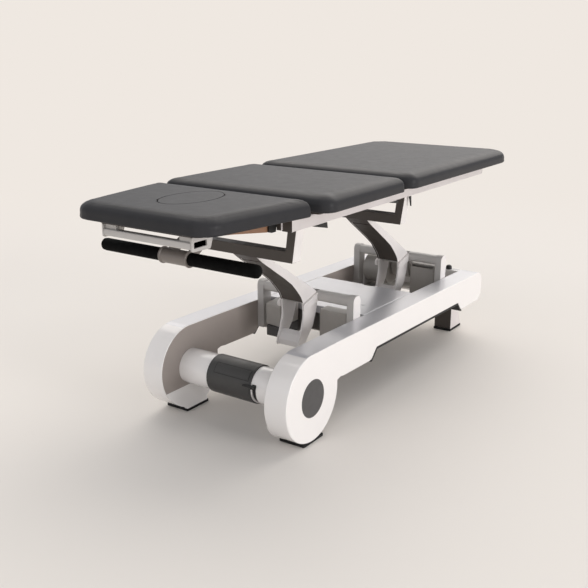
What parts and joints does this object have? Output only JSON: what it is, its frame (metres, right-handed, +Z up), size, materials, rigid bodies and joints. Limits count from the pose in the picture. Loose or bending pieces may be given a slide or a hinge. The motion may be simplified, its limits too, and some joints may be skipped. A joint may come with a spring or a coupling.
{
  "type": "treatment table",
  "caption": "Height-adjustable treatment table: padded top in sections with a tilting head end and face opening, parallel lift arms, drum-ended moulded base.",
  "frame": {"origin": "centre of the table's footprint on the floor", "axes": "+X along the table towards the foot end, +Y across the table, +Z up"},
  "size_m": [2, 0.706, 0.8256],
  "materials": {
    "cushion_vinyl": "satin",
    "plywood": "matte",
    "grey_paint": "satin",
    "dark_paint": "satin",
    "white_paint": "satin",
    "steel": "satin",
    "black_plastic": "matte",
    "dark_grey_plastic": "matte",
    "white_plastic": "gloss",
    "drive_housing": "satin",
    "black_rubber": "matte"
  },
  "bodies": {
    "base": {"side_cover_near": "white_plastic", "side_cover_far": "white_plastic", "drum_cap_near": "dark_grey_plastic", "drum_cap_far": "dark_grey_plastic", "cross_cylinder": "white_plastic", "cylinder_sleeve": "dark_grey_plastic", "sleeve_hatch": "dark_grey_plastic", "deck": "white_plastic", "rear_cover": "white_plastic", "rear_knob": "black_plastic", "chassis_pan": "dark_paint", "portal_front": "grey_paint", "portal_rear": "grey_paint", "drive_front_far": "drive_housing", "drive_front_far_base": "black_plastic", "drive_front_near": "drive_housing", "drive_rear_barrel": "drive_housing", "drive_rear_plate": "grey_paint", "drive_rear_near": "drive_housing", "front_pad_near": "black_rubber", "front_pad_far": "black_rubber", "front_foot_near": "grey_paint", "front_foot_far": "grey_paint", "rear_pad_near": "black_rubber", "rear_pad_far": "black_rubber", "rear_foot_near": "white_paint", "rear_foot_far": "white_paint"},
    "lift_arm_front": {"arm_front": "white_paint", "arm_belly_front": "dark_paint"},
    "lift_arm_rear": {"arm_rear": "white_paint", "arm_belly_rear": "dark_paint"},
    "upper_frame": {"rail_near": "white_paint", "rail_far": "white_paint", "rail_plug_near": "black_plastic", "rail_plug_far": "black_plastic", "cross_beam_front": "dark_paint", "cross_beam_rear": "dark_paint", "cushion_rest_front": "grey_paint", "cushion_rest_rear": "grey_paint", "middle_cushion": "cushion_vinyl", "middle_board": "plywood", "head_hinge_pin": "steel", "foot_hinge_pin": "steel"},
    "head_section": {"head_cushion": "cushion_vinyl", "head_board": "plywood", "head_frame": "grey_paint", "head_front_bar": "grey_paint", "head_side_plate_near": "grey_paint", "head_side_plate_far": "grey_paint", "head_hinge_plate_near": "black_plastic", "head_hinge_plate_far": "black_plastic"},
    "foot_section": {"foot_cushion": "cushion_vinyl", "foot_board": "plywood", "foot_frame": "grey_paint"},
    "plug": {"face_plug": "cushion_vinyl"},
    "handle_bar": {"handle_tube": "steel", "handle_sleeve": "grey_paint", "grip_near": "black_plastic", "grip_far": "black_plastic"},
    "lever": {"slot_lever": "black_plastic"}
  },
  "joints": [
    {"name": "lift", "type": "hinge", "parent": "base", "child": "lift_arm_front", "pos_m": [-0.182, 0, 0.354], "axis": [0, 1, 0], "range_deg": [-41, 36]},
    {"name": "lift_rear", "type": "hinge", "parent": "base", "child": "lift_arm_rear", "pos_m": [0.558, 0, 0.354], "axis": [0, 1, 0], "range_deg": [-41, 36]},
    {"name": "level", "type": "hinge", "parent": "lift_arm_front", "child": "upper_frame", "pos_m": [-0.4925, 0, 0.608], "axis": [0, 1, 0], "range_deg": [-36, 41]},
    {"name": "head_tilt", "type": "hinge", "parent": "upper_frame", "child": "head_section", "pos_m": [-0.5485, 0, 0.774], "axis": [0, 1, 0], "range_deg": [-45, 25]},
    {"name": "foot_tilt", "type": "hinge", "parent": "upper_frame", "child": "foot_section", "pos_m": [0.008, 0, 0.774], "axis": [0, 1, 0], "range_deg": [-25, 0]},
    {"name": "plug_lift", "type": "slide", "parent": "head_section", "child": "plug", "axis": [0, 0, 1], "range_m": [0, 0.09]},
    {"name": "handle_pull", "type": "hinge", "parent": "head_section", "child": "handle_bar", "pos_m": [-0.6925, 0, 0.7265], "axis": [0, 1, 0], "range_deg": [0, 7]},
    {"name": "lever_slide", "type": "hinge", "parent": "base", "child": "lever", "pos_m": [-0.54, 0, 0.1625], "axis": [0, 1, 0], "range_deg": [-80, 0]}
  ],
  "couplings": [
    {"joint": "lift_rear", "follows": "lift", "ratio": 1},
    {"joint": "level", "follows": "lift", "ratio": -1}
  ]
}
